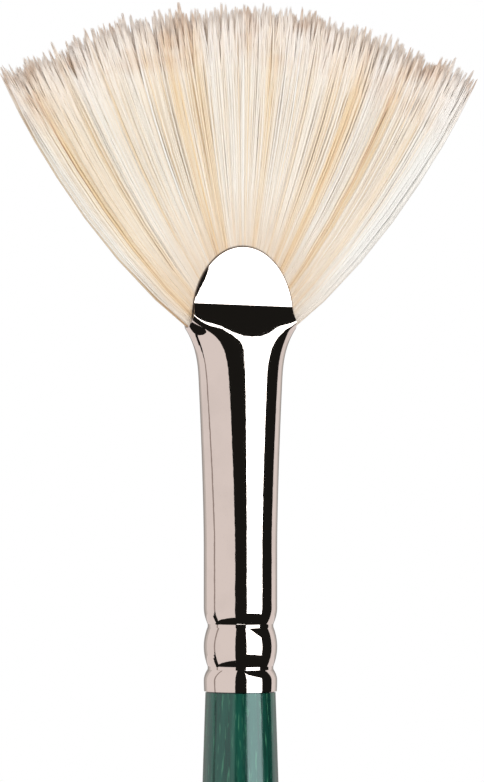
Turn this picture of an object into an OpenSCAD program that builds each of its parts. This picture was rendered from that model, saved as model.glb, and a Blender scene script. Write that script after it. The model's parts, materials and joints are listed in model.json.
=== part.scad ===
// Fan brush: a flat fan of hog bristle in a long seamless ferrule, on a long lacquered
// wooden handle. The ferrule is a round tube, rolled into the wood by two crimps, that
// turns oval on its way up and is pressed flat between two sloping jaws at its mouth. The
// mouth is cut to an arch, so the outer bristles leave it sideways and the tuft spreads
// into a fan.
//
// Frame: the brush stands on the end of its handle, with +Z up its axis to the bristle
// tips, X across the fan and the flat front face towards -Y. All lengths in millimetres.

/* [Handle] */
// Length of the handle that shows below the ferrule
handle_len = 250; // [160:5:320]
// Step from the ferrule's rim in to the wood just below it
neck_step = 0.055; // [0.02:0.005:0.1]
// Diameter of the belly, where the fingers hold the brush
belly_d = 9; // [8:0.1:11]
// Distance from the ferrule down to the belly
belly_drop = 38; // [25:1:60]
// Diameter of the tail, just above its round end
tail_d = 4.6; // [3.5:0.1:6]
// Length of the tenon that the ferrule is rolled onto
tenon_len = 13; // [11:0.5:14]

/* [Ferrule tube] */
// Outer diameter of the straight tube
tube_d = 7.75; // [7:0.05:8.5]
// Thickness of the metal
wall = 0.25; // [0.15:0.01:0.35]
// Length of the ferrule, from its lower rim to the top of the arch
ferrule_len = 46.8; // [44:0.2:56]
// Height of the lower crimp above the rim
lower_crimp = 2.47; // [2:0.01:3]
// Height of the upper crimp above the rim
upper_crimp = 6.93; // [5.8:0.01:7.5]
// Depth of each crimp
crimp_depth = 0.41; // [0.2:0.01:0.5]
// Flat that the crimping wheel leaves at the bottom of each crimp
crimp_land = 0.3; // [0.1:0.05:0.6]
// Height of the rounded shoulder above the upper crimp
shoulder_h = 1.75; // [1:0.05:2.5]
// Inward curl of the lower rim
rim_curl = 0.12; // [0.02:0.01:0.2]
// Length of the straight tube above the shoulder
straight_len = 6.3; // [4:0.1:8]
// Width of the oval tube where its folds begin
flare_d = 8.9; // [8.5:0.05:9.1]

/* [Ferrule mouth] */
// Height of the zone where the folds spread, below the crease
pinch_len = 8; // [6:0.1:10]
// Slope of the jaws that press the nose, from upright
jaw_angle = 27.5; // [24:0.5:32]
// Thickness of the oval that the jaws press
throat_t = 6.5; // [6.1:0.1:6.9]
// Height of the flat nose, from its crease to the top of the arch
nose_h = 6.06; // [5.2:0.02:6.6]
// Thickness over the flat nose
nose_t = 2.7; // [2.2:0.05:3.4]
// Width over the two folds, where the mouth is widest
fold_w = 12.1; // [11:0.1:13]
// Distance from the crease down to the folds
fold_drop = 2.3; // [1.8:0.05:3]
// Width of the arch that the mouth is cut to
arch_w = 10.7; // [9.4:0.05:10.9]
// Height of the arch
arch_h = 7.46; // [6.6:0.02:8.4]

/* [Bristles] */
// Length of the bristles beyond the top of the arch
bristle_out = 25; // [15:0.5:32]
// Width of the fan over its outermost tips
fan_w = 51; // [36:1:60]
// Radius of the fan's rounded end
fan_r = 47.2; // [40:0.2:60]
// Angle at which the outermost bristles leave the mouth
leave_angle = 48; // [38:1:50]
// Angle of the outermost bristles at their tips
tip_angle = 29; // [22:1:34]
// Thickness of the fan at its tips
fan_t = 2.6; // [2.2:0.1:3.6]
// How far a bristle's length may differ from its neighbours'
raggedness = 1.1; // [0:0.1:1.5]
// Number of bristles side by side in one row
columns = 40; // [34:1:40]
// Width of one bristle
bristle_w = 0.38; // [0.2:0.02:0.44]

/* [Inside the ferrule] */
// Height of the resin that locks the bristle roots
resin_h = 5.5; // [3:0.5:7]
// Thickness of the glue above the tenon
glue_h = 0.5; // [0.3:0.1:0.8]
// Length of the glue's skirt down the tenon
skirt_h = 4; // [2:0.5:4]
// Thickness of the thread that binds the roots
thread_d = 0.46; // [0.3:0.02:0.56]
// Number of turns of that thread
thread_turns = 5; // [3:1:7]

/* [Clearances] */
// Glue line between the tenon and the tube
glue_line = 0.1; // [0.06:0.01:0.2]
// Gap between pieces that are set into each other
seat_gap = 0.02; // [0.01:0.005:0.03]
// Gap between the bristle roots and the metal
root_gap = 0.08; // [0.05:0.01:0.12]

/* [Hidden] */
$fn = 96;

// Heights of the ferrule, measured from its lower rim
shoulder_z = upper_crimp + crimp_land / 2 + shoulder_h;
straight_z = shoulder_z + straight_len;
crease_z = ferrule_len - nose_h;
pinch_z = crease_z - pinch_len;
fold_z = crease_z - fold_drop;
arch_z = ferrule_len - arch_h;

// Heights inside the ferrule, measured the same way
glue_top = tenon_len + glue_h;
resin_top = glue_top + resin_h;
binding_h = thread_turns * thread_d;
binding_top = resin_top + seat_gap + binding_h;

tube_r = tube_d / 2;
flare_r = flare_d / 2;
belly_r = belly_d / 2;
tail_r = tail_d / 2;
rim_r = tube_r - rim_curl;
neck_r = rim_r - neck_step;

// How quickly the tube turns oval and how late its folds spread: 1 would be a straight
// line, and more bends later
flare_curve = 1.5;
fold_curve = 2.7;
throat_curve = 1.3;
// How far up the rim's bead its widest point lies
rim_crown = 0.48;
// How sharply the jaws' flats meet the oval: more is sharper
jaw_edge = 12;
// How far below a jaw's foot its rounding reaches
jaw_round = 0.6;
// How soon the handle thins towards its tail
tail_curve = 0.8;
tenon_bevel = 0.4;

// Steps used to draw curves
curve_steps = 8;
few_steps = 4;
oval_steps = 6;
jaw_steps = 13;
wire_steps = 6;
handle_step = 4;
nose_sides = 56;
// How far the pressed nose reaches down into the tube's wall, and how far inside its faces
lap = 0.3;
hair = 0.03;
cut_margin = 4;

// ---------------------------------------------------------------- tube profile

// Radius of a bead that is full at its crown and lower by drop at its foot
function bead_r(z, crown, foot, drop) = tube_r - drop * pow((z - crown) / (foot - crown), 2);

// The two crimps leave three beads: one at the rim, one between them, and the shoulder
rim_bead_top = lower_crimp - crimp_land / 2;
rim_bead_crown = rim_bead_top * rim_crown;
mid_bead_foot = lower_crimp + crimp_land / 2;
mid_bead_top = upper_crimp - crimp_land / 2;
mid_bead_crown = (mid_bead_foot + mid_bead_top) / 2;
shoulder_foot = upper_crimp + crimp_land / 2;

// Outer radius of the round part of the ferrule at height z
function ferrule_r(z) =
    z <= rim_bead_crown ? bead_r(z, rim_bead_crown, 0, rim_curl) :
    z <= rim_bead_top ? bead_r(z, rim_bead_crown, rim_bead_top, crimp_depth) :
    z <= mid_bead_foot ? tube_r - crimp_depth :
    z <= mid_bead_top ? bead_r(z, mid_bead_crown, mid_bead_top, crimp_depth) :
    z <= shoulder_foot ? tube_r - crimp_depth :
    z <= shoulder_z ? bead_r(z, shoulder_z, shoulder_foot, crimp_depth) :
    tube_r;

// Radius of the largest round rod that fits in the ferrule at height z
function bore_r(z) = (z <= straight_z ? ferrule_r(z) : nose_b(z)) - wall;

// Evenly spaced heights from a up to b, without b itself
function heights(a, b, steps = curve_steps) = [for (i = [0 : steps - 1]) a + (b - a) * i / steps];

// Heights at which the crimped end changes, up to the straight tube
crimp_heights = concat(
    heights(0, rim_bead_crown, few_steps), heights(rim_bead_crown, rim_bead_top),
    [rim_bead_top], heights(mid_bead_foot, mid_bead_top, 2 * curve_steps),
    [mid_bead_top], heights(shoulder_foot, shoulder_z), [shoulder_z]);

tube_heights = concat(crimp_heights, [straight_z]);

// ---------------------------------------------------------------- pressed nose

// Share of the way from height a to height b, from 0 to 1
function share(z, a, b) = min(1, max(0, (z - a) / (b - a)));

// Half width and half thickness of the oval at height z, before the jaws press it
function flare_a(z) =
    tube_r + (flare_r - tube_r) * pow(max(0, z - straight_z) / (pinch_z - straight_z), flare_curve);
function nose_a(z) = let (top = min(z, crease_z), spread = (top - pinch_z) / (fold_z - pinch_z))
    flare_a(top) + (fold_w / 2 - flare_a(fold_z)) * pow(max(0, spread), fold_curve);
function nose_b(z) =
    tube_r + (throat_t / 2 - tube_r) * pow(share(z, straight_z, crease_z), throat_curve);

// Distance of a jaw from the middle at height z, and half the thickness that it leaves
function jaw_y(z) = nose_t / 2 + tan(jaw_angle) * max(0, crease_z - z);
function mouth_b(z) = min(nose_b(z), jaw_y(z));

// Presses a distance y from the middle in under a limit, with a rounded edge
function pressed(y, limit) =
    sign(y) * limit * abs(y) / pow(pow(abs(y), jaw_edge) + pow(limit, jaw_edge), 1 / jaw_edge);

// Section of the nose at height z, moved in by inset, as a ring of points
function nose_ring(z, inset) = [
    for (i = [0 : nose_sides - 1])
        let (turn = 360 * i / nose_sides)
        [(nose_a(z) - inset) * cos(turn),
         pressed((nose_b(z) - inset) * sin(turn), jaw_y(z) - inset),
         z]
];

// A closed shell between an outer and an inner stack of rings
module ring_shell(outer, inner) {
    n = len(outer[0]);
    last = len(outer) - 1;
    start = (last + 1) * n;
    points = concat([for (ring = outer) each ring], [for (ring = inner) each ring]);
    walls = [
        for (k = [0 : last - 1], i = [0 : n - 1])
            let (a = k * n + i, b = k * n + (i + 1) % n, c = b + n, d = a + n,
                 e = start + a, f = start + b, g = start + c, h = start + d,
                 leaning = floor(4 * i / n) % 2 == 1)
            each leaning ?
                [[a, d, c], [a, c, b], [e, g, h], [e, f, g]] :
                [[b, a, d], [b, d, c], [f, h, e], [f, g, h]]
    ];
    rims = [
        for (i = [0 : n - 1])
            let (a = i, b = (i + 1) % n, top = last * n)
            each [[a, b, start + b], [a, start + b, start + a],
                  [top + a, start + top + b, top + b], [top + a, start + top + a, start + top + b]]
    ];
    polyhedron(points, concat(walls, rims));
}

// Heights of the nose's rings, close together where the sheet bends most
nose_top = ferrule_len + lap;
jaw_foot = crease_z - (throat_t - nose_t) / 2 / tan(jaw_angle) - jaw_round;
nose_heights = concat(
    heights(straight_z, pinch_z, oval_steps), heights(pinch_z, jaw_foot, few_steps),
    heights(jaw_foot, crease_z, jaw_steps), [crease_z, nose_top]);

// The nose laps into the tube's wall, a hair inside both of its faces
module nose() {
    outer = concat([nose_ring(straight_z - lap, 2 * hair)],
                   [for (z = nose_heights) nose_ring(z, z > straight_z ? 0 : hair)]);
    inner = concat([nose_ring(straight_z - lap, wall - 2 * hair)],
                   [for (z = nose_heights) nose_ring(z, z > straight_z ? wall : wall - hair)]);
    ring_shell(outer, inner);
}

// The arch ends in a sill over each fold, which the outermost bristles pass
sill_z = fold_z - wall / 2;
sill_x = fold_w / 2 - wall;

// Everything outside the arch, seen from the front
module mouth_cut() {
    spring_angle = 5;
    arch_steps = 4 * curve_steps;
    far = nose_a(crease_z) + cut_margin;
    arch = [
        for (i = [0 : arch_steps])
            let (turn = 180 - spring_angle - (180 - 2 * spring_angle) * i / arch_steps)
            [arch_w / 2 * cos(turn), arch_z + arch_h * sin(turn)]
    ];
    outline = concat(
        [[-far, sill_z], [-sill_x, sill_z]], arch, [[sill_x, sill_z], [far, sill_z]],
        [[far, nose_top + cut_margin], [-far, nose_top + cut_margin]]);
    rotate([90, 0, 0]) linear_extrude(fold_w, center = true) polygon(outline);
}

module ferrule_tube() {
    outer = [for (z = tube_heights) [ferrule_r(z), z]];
    inner = [for (z = tube_heights) [bore_r(z), z]];
    rotate_extrude() polygon(concat(outer, [for (i = [len(inner) - 1 : -1 : 0]) inner[i]]));
}

module ferrule() {
    color("silver") translate([0, 0, handle_len]) difference() {
        union() {
            ferrule_tube();
            nose();
        }
        mouth_cut();
    }
}

// ---------------------------------------------------------------- handle

// Radius of the handle at a distance below the ferrule
function handle_r(drop) =
    drop <= belly_drop ? neck_r + (belly_r - neck_r) * sin(90 * drop / belly_drop) :
    let (way = (drop - belly_drop) / (handle_len - belly_drop))
    tail_r + (belly_r - tail_r) * (1 + cos(180 * pow(way, tail_curve))) / 2;

// The butt is a dome as deep as the tail's radius
function butt_points() = [
    for (i = [0 : curve_steps])
        let (turn = 90 * i / curve_steps)
        [handle_r(handle_len - tail_r) * sin(turn), tail_r * (1 - cos(turn))]
];

module handle() {
    steps = round((handle_len - tail_r) / handle_step);
    shaft = [
        for (i = [1 : steps])
            let (z = tail_r + (handle_len - tail_r) * i / steps)
            [handle_r(handle_len - z), z]
    ];
    tenon = [for (z = crimp_heights) [bore_r(z) - glue_line, handle_len + z]];
    tenon_end = [
        [bore_r(tenon_len) - glue_line, handle_len + tenon_len - tenon_bevel],
        [bore_r(tenon_len) - glue_line - tenon_bevel, handle_len + tenon_len],
        [0, handle_len + tenon_len]
    ];
    color("darkgreen") rotate_extrude() polygon(concat(butt_points(), shaft, tenon, tenon_end));
}

// ---------------------------------------------------------------- glue, resin and thread

// A cap of glue on the tenon's end, with a skirt down the glue line that follows the bore
module tenon_glue() {
    bottom = tenon_len - skirt_h;
    skirt = concat([bottom], [for (z = crimp_heights) if (z > bottom && z < tenon_len) z], [tenon_len]);
    outer = [for (z = skirt) [bore_r(z) - seat_gap, z]];
    inner = [for (i = [len(skirt) - 1 : -1 : 0])
        [bore_r(skirt[i]) - glue_line + seat_gap, skirt[i]]];
    roof = tenon_len + seat_gap;
    cap = [[bore_r(glue_top) - seat_gap, glue_top], [0, glue_top], [0, roof], [inner[0][0], roof]];
    color("wheat") translate([0, 0, handle_len])
        rotate_extrude() polygon(concat(outer, cap, inner));
}

module resin_plug() {
    side = [
        for (z = concat(heights(glue_top, resin_top, few_steps), [resin_top]))
            [bore_r(z) - seat_gap, z]
    ];
    color("saddlebrown") translate([0, 0, handle_len])
        rotate_extrude() polygon(concat([[0, glue_top]], side, [[0, resin_top]]));
}

// Radius of the bound bundle of roots
bound_r = bore_r(binding_top) - seat_gap - thread_d - seat_gap;

// Thread wound side by side round the roots, fused into a sleeve by the resin
module root_binding() {
    half_turn = 80;
    turns = [
        for (i = [0 : thread_turns - 1], k = [0 : wire_steps])
            let (turn = half_turn * (2 * k / wire_steps - 1))
            [bound_r + seat_gap + thread_d / 2 * (1 + cos(turn)),
             resin_top + seat_gap + thread_d * (i + (1 + sin(turn)) / 2)]
    ];
    inner_r = bound_r + seat_gap;
    color("ivory") translate([0, 0, handle_len]) rotate_extrude()
        polygon(concat([[inner_r, turns[0][1]]], turns, [[inner_r, turns[len(turns) - 1][1]]]));
}

// ---------------------------------------------------------------- bristles

// The tuft is nine rows deep, in three layers that each carry three rows. A layer is one
// closed solid: a slice of the bound roots, whose top is an arch of cells, with one
// three-sided bristle rising from each cell. u runs across the fan and v through its
// thickness, both from -1 to 1.
layers = 3;
layer_rows = 3;
rows = layers * layer_rows;

// The arch of cells lies inside the mouth, and the outermost bristles clear its sills.
// Its outer rows are a little shorter than the middle ones, as the folds are round.
root_inset = 1.85;
root_drop = 0.825;
root_round = 0.12;
root_z = sill_z - root_drop;
root_h = ferrule_len - root_inset - root_z;
root_a = sill_x - root_gap - bristle_w - (sill_z - root_z) * tan(leave_angle);
root_y = nose_t / 2 - wall - root_gap;

// Each row's tips fall between those of the other rows
row_order = [0, 4, 8, 3, 7, 2, 6, 1, 5];
ragged_seed = 7;
ragged = rands(-raggedness, raggedness, rows * columns, ragged_seed);

function across(i) = -1 + 2 * i / columns;
function deep(r) = -1 + 2 * r / rows;

// A point of the arch of cells, or of a lower arch inside it with a height of rise
function arch_point(u, v, foot, rise) =
    [root_a * sin(90 * u) * sqrt(1 - root_round * v * v), root_y * v, foot + rise * cos(90 * u)];
function root_point(u, v) = arch_point(u, v, root_z, root_h);

// The tip of a bristle, on the fan's rounded end
tip_spread = asin(fan_w / 2 / fan_r);
fan_z = ferrule_len + bristle_out - fan_r;
function tip_point(u, v, extra) = [
    (fan_r + extra) * sin(tip_spread * u),
    fan_t / 2 * v,
    fan_z + (fan_r + extra) * cos(tip_spread * u)
];

function aim(angle) = [sin(angle), 0, cos(angle)];

// The path of a bristle: a cubic curve from its root to its tip, and its direction
function path(p, t) = p[0] * pow(1 - t, 3) + p[1] * 3 * t * pow(1 - t, 2)
    + p[2] * 3 * t * t * (1 - t) + p[3] * pow(t, 3);
near = 0.01;
function heading(p, t) = let (d = path(p, t + near) - path(p, t - near)) d / norm(d);

function bristle_path(u, v, u_tip, extra) =
    let (start = root_point(u, v),
         end = tip_point(u_tip, v, extra),
         reach = norm(end - start) / 3)
    [start, start + reach * aim(leave_angle * u), end - reach * aim(tip_angle * u_tip), end];

// Three corners round a path, with one towards the front
function corners(centre, side, w, t) = [
    centre + [0, -2 / 3 * t, 0],
    centre + side * w / 2 + [0, t / 3, 0],
    centre - side * w / 2 + [0, t / 3, 0]
];

// How far each layer draws back from its neighbour, as a share of half the thickness
layer_split = 0.02;

// Share of a cell that a root fills, and where along its path a bristle has its rings
root_fill = 0.78;
row_fill = 0.7;
ring_ways = [0.3, 0.82];
bristle_t = row_fill * 2 * root_y / rows;

// All ten points of one bristle: the root's three, two rings of three, and the tip
function bristle_points(i, row) =
    let (u = across(i + 0.5),
         v = deep(row + 0.5),
         u_tip = across(i + (row_order[row] + 0.5) / rows),
         p = bristle_path(u, v, u_tip, ragged[row * columns + i]),
         du = root_fill / columns,
         dv = root_fill / rows)
    concat(
        [root_point(u, v - dv), root_point(u + du, v + dv / 2), root_point(u - du, v + dv / 2)],
        [for (t = ring_ways) let (d = heading(p, t))
            each corners(path(p, t), [d[2], 0, -d[0]], bristle_w, bristle_t)],
        [p[3]]);

// Below its arch a slice of roots follows a few stations down to the resin, each given
// as height, half width and half thickness. A ring of points lies at each.
slice_cells = 8;
roundness = 0.5;
low_arch = 0.5;
low_foot = root_z - low_arch;
spread_way = 1 / 3;
press_way = 0.41;
bend_way = 0.85;
spread_z = binding_top + spread_way * (pinch_z - binding_top);
press_z = pinch_z + press_way * (low_foot - pinch_z);
bend_z = pinch_z + bend_way * (low_foot - pinch_z);
stations = [
    [resin_top, bound_r, bound_r],
    [binding_top, bound_r, bound_r],
    [spread_z, nose_a(spread_z) - wall - root_gap, nose_b(spread_z) - wall - root_gap],
    [press_z, nose_a(press_z) - wall - root_gap, mouth_b(press_z) - wall - 2 * root_gap],
    [bend_z, nose_a(bend_z) - wall - 2 * root_gap, mouth_b(bend_z) - wall - 4 * root_gap]
];
rings = len(stations) + 1;

// The last ring is a low arch, whose top lies just under the crease
low_rise = crease_z - low_arch / 2 - low_foot;

// At a station the square of u and v is mapped onto a disc
function station_point(s, u, v) =
    [s[1] * u * sqrt(1 - roundness * v * v), s[2] * v * sqrt(1 - roundness * u * u), s[0]];
function slice_point(k, u, v) = k < len(stations) ?
    station_point(stations[k], u, v) : arch_point(u, v, low_foot, low_rise);

// Where the fine edge of the arch passes from one coarse corner below it to the next
function fine_at(j) = j < 0 ? 0 : j >= slice_cells ? columns : round((j + 0.5) * columns / slice_cells);

// One layer of the tuft. Faces are listed anticlockwise from outside, then turned over.
module bristle_layer(layer) {
    first = layer * layer_rows;
    v_front = deep(first) + (layer > 0 ? layer_split : 0);
    v_back = deep(first + layer_rows) - (layer < layers - 1 ? layer_split : 0);
    fine = columns + 1;
    coarse = slice_cells + 1;

    function row_v(r) = r == 0 ? v_front : r == layer_rows ? v_back : deep(first + r);

    cells = [for (r = [0 : layer_rows], i = [0 : columns]) root_point(across(i), row_v(r))];
    strands = [for (r = [0 : layer_rows - 1], i = [0 : columns - 1]) each bristle_points(i, first + r)];
    slice = [
        for (k = [0 : rings - 1], v = [v_front, v_back], j = [0 : slice_cells])
            slice_point(k, 2 * j / slice_cells - 1, v)
    ];
    strand_start = len(cells);
    slice_start = strand_start + len(strands);

    // Numbers of the points of a cell corner, of a bristle and of a slice ring
    function cell(i, r) = r * fine + i;
    function strand(i, r, n) = strand_start + (r * columns + i) * 10 + n;
    function ring(k, side, j) = slice_start + (k * 2 + side) * coarse + j;

    cell_faces = [
        for (r = [0 : layer_rows - 1], i = [0 : columns - 1])
            let (a = cell(i, r), b = cell(i + 1, r), c = cell(i + 1, r + 1), d = cell(i, r + 1),
                 p = strand(i, r, 0), q = strand(i, r, 1), s = strand(i, r, 2))
            each [[a, b, p], [b, c, q], [b, q, p], [c, d, s], [c, s, q], [d, a, p], [d, p, s]]
    ];
    side_faces = [
        for (r = [0 : layer_rows - 1], i = [0 : columns - 1], n = [0, 3], e = [0 : 2])
            let (a = strand(i, r, n + e), b = strand(i, r, n + (e + 1) % 3))
            each [[a, b, b + 3], [a, b + 3, a + 3]]
    ];
    tip_faces = [
        for (r = [0 : layer_rows - 1], i = [0 : columns - 1], e = [0 : 2])
            [strand(i, r, 6 + e), strand(i, r, 6 + (e + 1) % 3), strand(i, r, 9)]
    ];

    // The slice's broad faces: fans under the arch, then quads between the rings
    top = rings - 1;
    fans = [
        for (side = [0, 1], j = [0 : slice_cells], i = [fine_at(j - 1) : 1 : fine_at(j) - 1])
            let (r = side * layer_rows, a = ring(top, side, j), b = cell(i, r), c = cell(i + 1, r))
            side == 0 ? [a, c, b] : [a, b, c]
    ];
    joins = [
        for (side = [0, 1], j = [0 : slice_cells - 1])
            let (a = ring(top, side, j), b = ring(top, side, j + 1),
                 c = cell(fine_at(j), side * layer_rows))
            side == 0 ? [a, b, c] : [b, a, c]
    ];
    quads = [
        for (k = [0 : top - 1], side = [0, 1], j = [0 : slice_cells - 1])
            let (a = ring(k, side, j), b = ring(k, side, j + 1),
                 c = ring(k + 1, side, j + 1), d = ring(k + 1, side, j))
            each side == 0 ? [[a, b, c], [a, c, d]] : [[a, c, b], [a, d, c]]
    ];

    // Its two narrow edges and its bottom
    edges = [
        for (k = [0 : top - 1], end = [0, 1])
            let (j = end * slice_cells, a = ring(k, 0, j), b = ring(k, 1, j),
                 c = ring(k + 1, 1, j), d = ring(k + 1, 0, j))
            each end == 1 ? [[a, b, c], [a, c, d]] : [[a, c, b], [a, d, c]]
    ];
    corner_fans = [
        for (end = [0, 1], r = [0 : layer_rows - 1])
            let (a = ring(top, 0, end * slice_cells), b = cell(end * columns, r),
                 c = cell(end * columns, r + 1))
            end == 1 ? [a, c, b] : [a, b, c]
    ];
    corner_joins = [
        for (end = [0, 1])
            let (a = ring(top, 0, end * slice_cells), b = ring(top, 1, end * slice_cells),
                 c = cell(end * columns, layer_rows))
            end == 1 ? [a, b, c] : [a, c, b]
    ];
    bottom = [
        for (j = [0 : slice_cells - 1])
            let (a = ring(0, 0, j), b = ring(0, 1, j), c = ring(0, 1, j + 1), d = ring(0, 0, j + 1))
            each [[a, b, c], [a, c, d]]
    ];

    faces = concat(cell_faces, side_faces, tip_faces, fans, joins, quads, edges,
                   corner_fans, corner_joins, bottom);
    translate([0, 0, handle_len])
        polyhedron(concat(cells, strands, slice), [for (f = faces) [f[2], f[1], f[0]]]);
}

module bristles_front() {
    color("bisque") bristle_layer(0);
}

module bristles_middle() {
    color("wheat") bristle_layer(1);
}

module bristles_back() {
    color("bisque") bristle_layer(2);
}

handle();
ferrule();
tenon_glue();
resin_plug();
root_binding();
bristles_front();
bristles_middle();
bristles_back();
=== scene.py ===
"""Fan brush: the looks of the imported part, laid out as an add-on.

The lacquered handle, the nickel ferrule and the bristles each have an operator, and so
have the glue, resin and thread inside the ferrule, and the stage. Lengths are in metres,
except in the ferrule's and the bristles' own functions, which work in millimetres above
the ferrule's lower rim.
"""
import json
import math

import bmesh
import bpy
import numpy as np
from bpy.props import FloatProperty, FloatVectorProperty, IntProperty, PointerProperty
from mathutils import Vector
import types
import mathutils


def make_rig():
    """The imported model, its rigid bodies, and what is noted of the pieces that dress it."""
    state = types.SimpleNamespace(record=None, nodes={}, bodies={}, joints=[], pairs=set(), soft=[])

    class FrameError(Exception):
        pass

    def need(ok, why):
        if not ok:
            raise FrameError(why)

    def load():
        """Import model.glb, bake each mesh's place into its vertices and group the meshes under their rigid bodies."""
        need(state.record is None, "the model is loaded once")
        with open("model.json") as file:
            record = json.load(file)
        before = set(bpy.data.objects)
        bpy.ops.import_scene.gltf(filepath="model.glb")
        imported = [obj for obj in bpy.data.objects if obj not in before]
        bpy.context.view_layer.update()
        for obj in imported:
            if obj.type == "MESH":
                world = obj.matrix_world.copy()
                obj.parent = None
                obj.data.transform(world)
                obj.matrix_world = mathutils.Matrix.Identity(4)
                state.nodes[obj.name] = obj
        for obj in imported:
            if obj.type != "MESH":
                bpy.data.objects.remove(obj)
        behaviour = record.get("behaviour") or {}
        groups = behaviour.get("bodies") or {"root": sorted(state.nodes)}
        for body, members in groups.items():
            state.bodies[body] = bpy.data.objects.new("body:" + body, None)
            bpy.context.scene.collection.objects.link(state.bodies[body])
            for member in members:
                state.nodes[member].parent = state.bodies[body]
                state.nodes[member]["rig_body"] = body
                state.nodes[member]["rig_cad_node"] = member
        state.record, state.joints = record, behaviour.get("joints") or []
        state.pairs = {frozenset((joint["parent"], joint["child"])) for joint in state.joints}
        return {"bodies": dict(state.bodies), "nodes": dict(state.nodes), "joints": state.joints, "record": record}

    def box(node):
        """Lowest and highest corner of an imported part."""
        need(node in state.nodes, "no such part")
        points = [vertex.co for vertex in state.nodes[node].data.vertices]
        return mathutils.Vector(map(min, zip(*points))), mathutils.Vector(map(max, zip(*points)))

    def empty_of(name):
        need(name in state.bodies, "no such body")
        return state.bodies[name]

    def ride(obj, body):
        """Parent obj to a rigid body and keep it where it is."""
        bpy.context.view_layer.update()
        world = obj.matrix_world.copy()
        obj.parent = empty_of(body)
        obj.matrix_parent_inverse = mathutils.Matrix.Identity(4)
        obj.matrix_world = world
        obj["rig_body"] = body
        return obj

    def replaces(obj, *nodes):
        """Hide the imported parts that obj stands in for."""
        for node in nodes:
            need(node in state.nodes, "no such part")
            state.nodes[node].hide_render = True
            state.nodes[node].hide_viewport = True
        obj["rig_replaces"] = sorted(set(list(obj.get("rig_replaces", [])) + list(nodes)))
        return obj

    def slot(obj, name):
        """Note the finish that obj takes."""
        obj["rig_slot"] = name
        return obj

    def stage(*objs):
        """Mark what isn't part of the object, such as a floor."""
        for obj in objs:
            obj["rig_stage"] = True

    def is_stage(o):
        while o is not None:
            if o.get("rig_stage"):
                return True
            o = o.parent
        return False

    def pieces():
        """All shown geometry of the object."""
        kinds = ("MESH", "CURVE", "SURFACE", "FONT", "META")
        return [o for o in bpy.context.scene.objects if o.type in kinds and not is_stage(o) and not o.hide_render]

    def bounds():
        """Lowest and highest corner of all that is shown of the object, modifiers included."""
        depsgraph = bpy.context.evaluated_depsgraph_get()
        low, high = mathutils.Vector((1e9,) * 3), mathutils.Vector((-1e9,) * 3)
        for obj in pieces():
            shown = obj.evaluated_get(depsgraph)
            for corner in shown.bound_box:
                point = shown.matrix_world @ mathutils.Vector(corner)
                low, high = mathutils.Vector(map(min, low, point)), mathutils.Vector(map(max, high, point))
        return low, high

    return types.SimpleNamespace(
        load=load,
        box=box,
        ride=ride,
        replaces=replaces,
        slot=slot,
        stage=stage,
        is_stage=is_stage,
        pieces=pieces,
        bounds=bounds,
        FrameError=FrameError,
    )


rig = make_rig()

bl_info = {
    "name": "Fan brush",
    "version": (1, 0, 0),
    "blender": (4, 5, 0),
    "location": "3D View > Sidebar > Fan brush",
    "description": "Builds a hog bristle fan brush round its packed solids",
    "category": "Add Mesh",
}

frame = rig.load()
CAD_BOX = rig.bounds()
FERRULE_LOW, FERRULE_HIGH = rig.box("ferrule")
HANDLE_LEN = FERRULE_LOW.z
MM = 0.001

# Sizes of the handle's top in millimetres: its neck, the groove under the rim, its tenon
NECK_STEP = 0.175
GROOVE_D, GROOVE_H = 0.13, 0.12
GLUE_LINE, TENON_LEN = 0.1, 13.0

# Sizes of the ferrule in millimetres, above its lower rim
TUBE_R = 3.875
WALL = 0.25
FERRULE_LEN = (FERRULE_HIGH.z - FERRULE_LOW.z) / MM
LOWER_CRIMP, UPPER_CRIMP = 2.47, 6.93
CRIMP_DEPTH, CRIMP_LAND = 0.41, 0.3
SHOULDER_Z = UPPER_CRIMP + CRIMP_LAND / 2 + 1.75
STRAIGHT_Z = SHOULDER_Z + 6.3
RIM_CURL = 0.04
FLARE_R = 4.45
CREASE_Z = FERRULE_LEN - 6.06
PINCH_Z = CREASE_Z - 8.0
FOLD_Z = CREASE_Z - 2.3
NOSE_T, FOLD_W = 2.7, 12.1
ARCH_W, ARCH_H = 10.7, 7.46
ARCH_Z = FERRULE_LEN - ARCH_H
SILL_Z = FOLD_Z - WALL / 2
SILL_X = FOLD_W / 2 - WALL
CREASE_TILT = 0.037
JAW_SLOPE = math.tan(math.radians(27.5))
THROAT_R = 3.25
JAW_EDGE = 12
JAW_FOOT = CREASE_Z - (THROAT_R - NOSE_T / 2) / JAW_SLOPE
# A soft lip swells the oval beside the jaws, from one distance off the axis to another
LIP_SWELL, LIP_DROP, LIP_REACH = 1.2, 1.6, 1.0
LIP_START, LIP_RAMP = 2.6, 2.9
# A slight knock dents the nose's left side just inside its arched edge
KNOCK_DEPTH, KNOCK_RISE, KNOCK_REACH = 0.06, 2.6, 1.35

# Sizes of the tuft in millimetres
RESIN_TOP, BINDING_TOP, BOUND_R = 19.0, 21.32, 3.02
ROOT_Z = SILL_Z - 0.825
ROOT_H = FERRULE_LEN - 1.85 - ROOT_Z
ROOT_Y = NOSE_T / 2 - WALL - 0.08
FAN_R, FAN_W, FAN_T = 47.2, 51.0, 2.6
FAN_Z = FERRULE_LEN + 25.0 - FAN_R
TIP_SPREAD = math.asin(FAN_W / 2 / FAN_R)
FOOT_Z = 36.4
LAYERS = ("front", "middle", "back")
STRAND_T = np.array([0, 0.17, 0.34, 0.5, 0.65, 0.78, 0.88, 0.95, 1])
POINTS = len(STRAND_T) + 1
HAIR_SIDES = 3


# ---------------------------------------------------------------- settings

def length_prop(name, description, default, low, high, precision=4):
    return FloatProperty(name=name, description=description, default=default, min=low, max=high,
                         unit="LENGTH", precision=precision)


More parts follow.
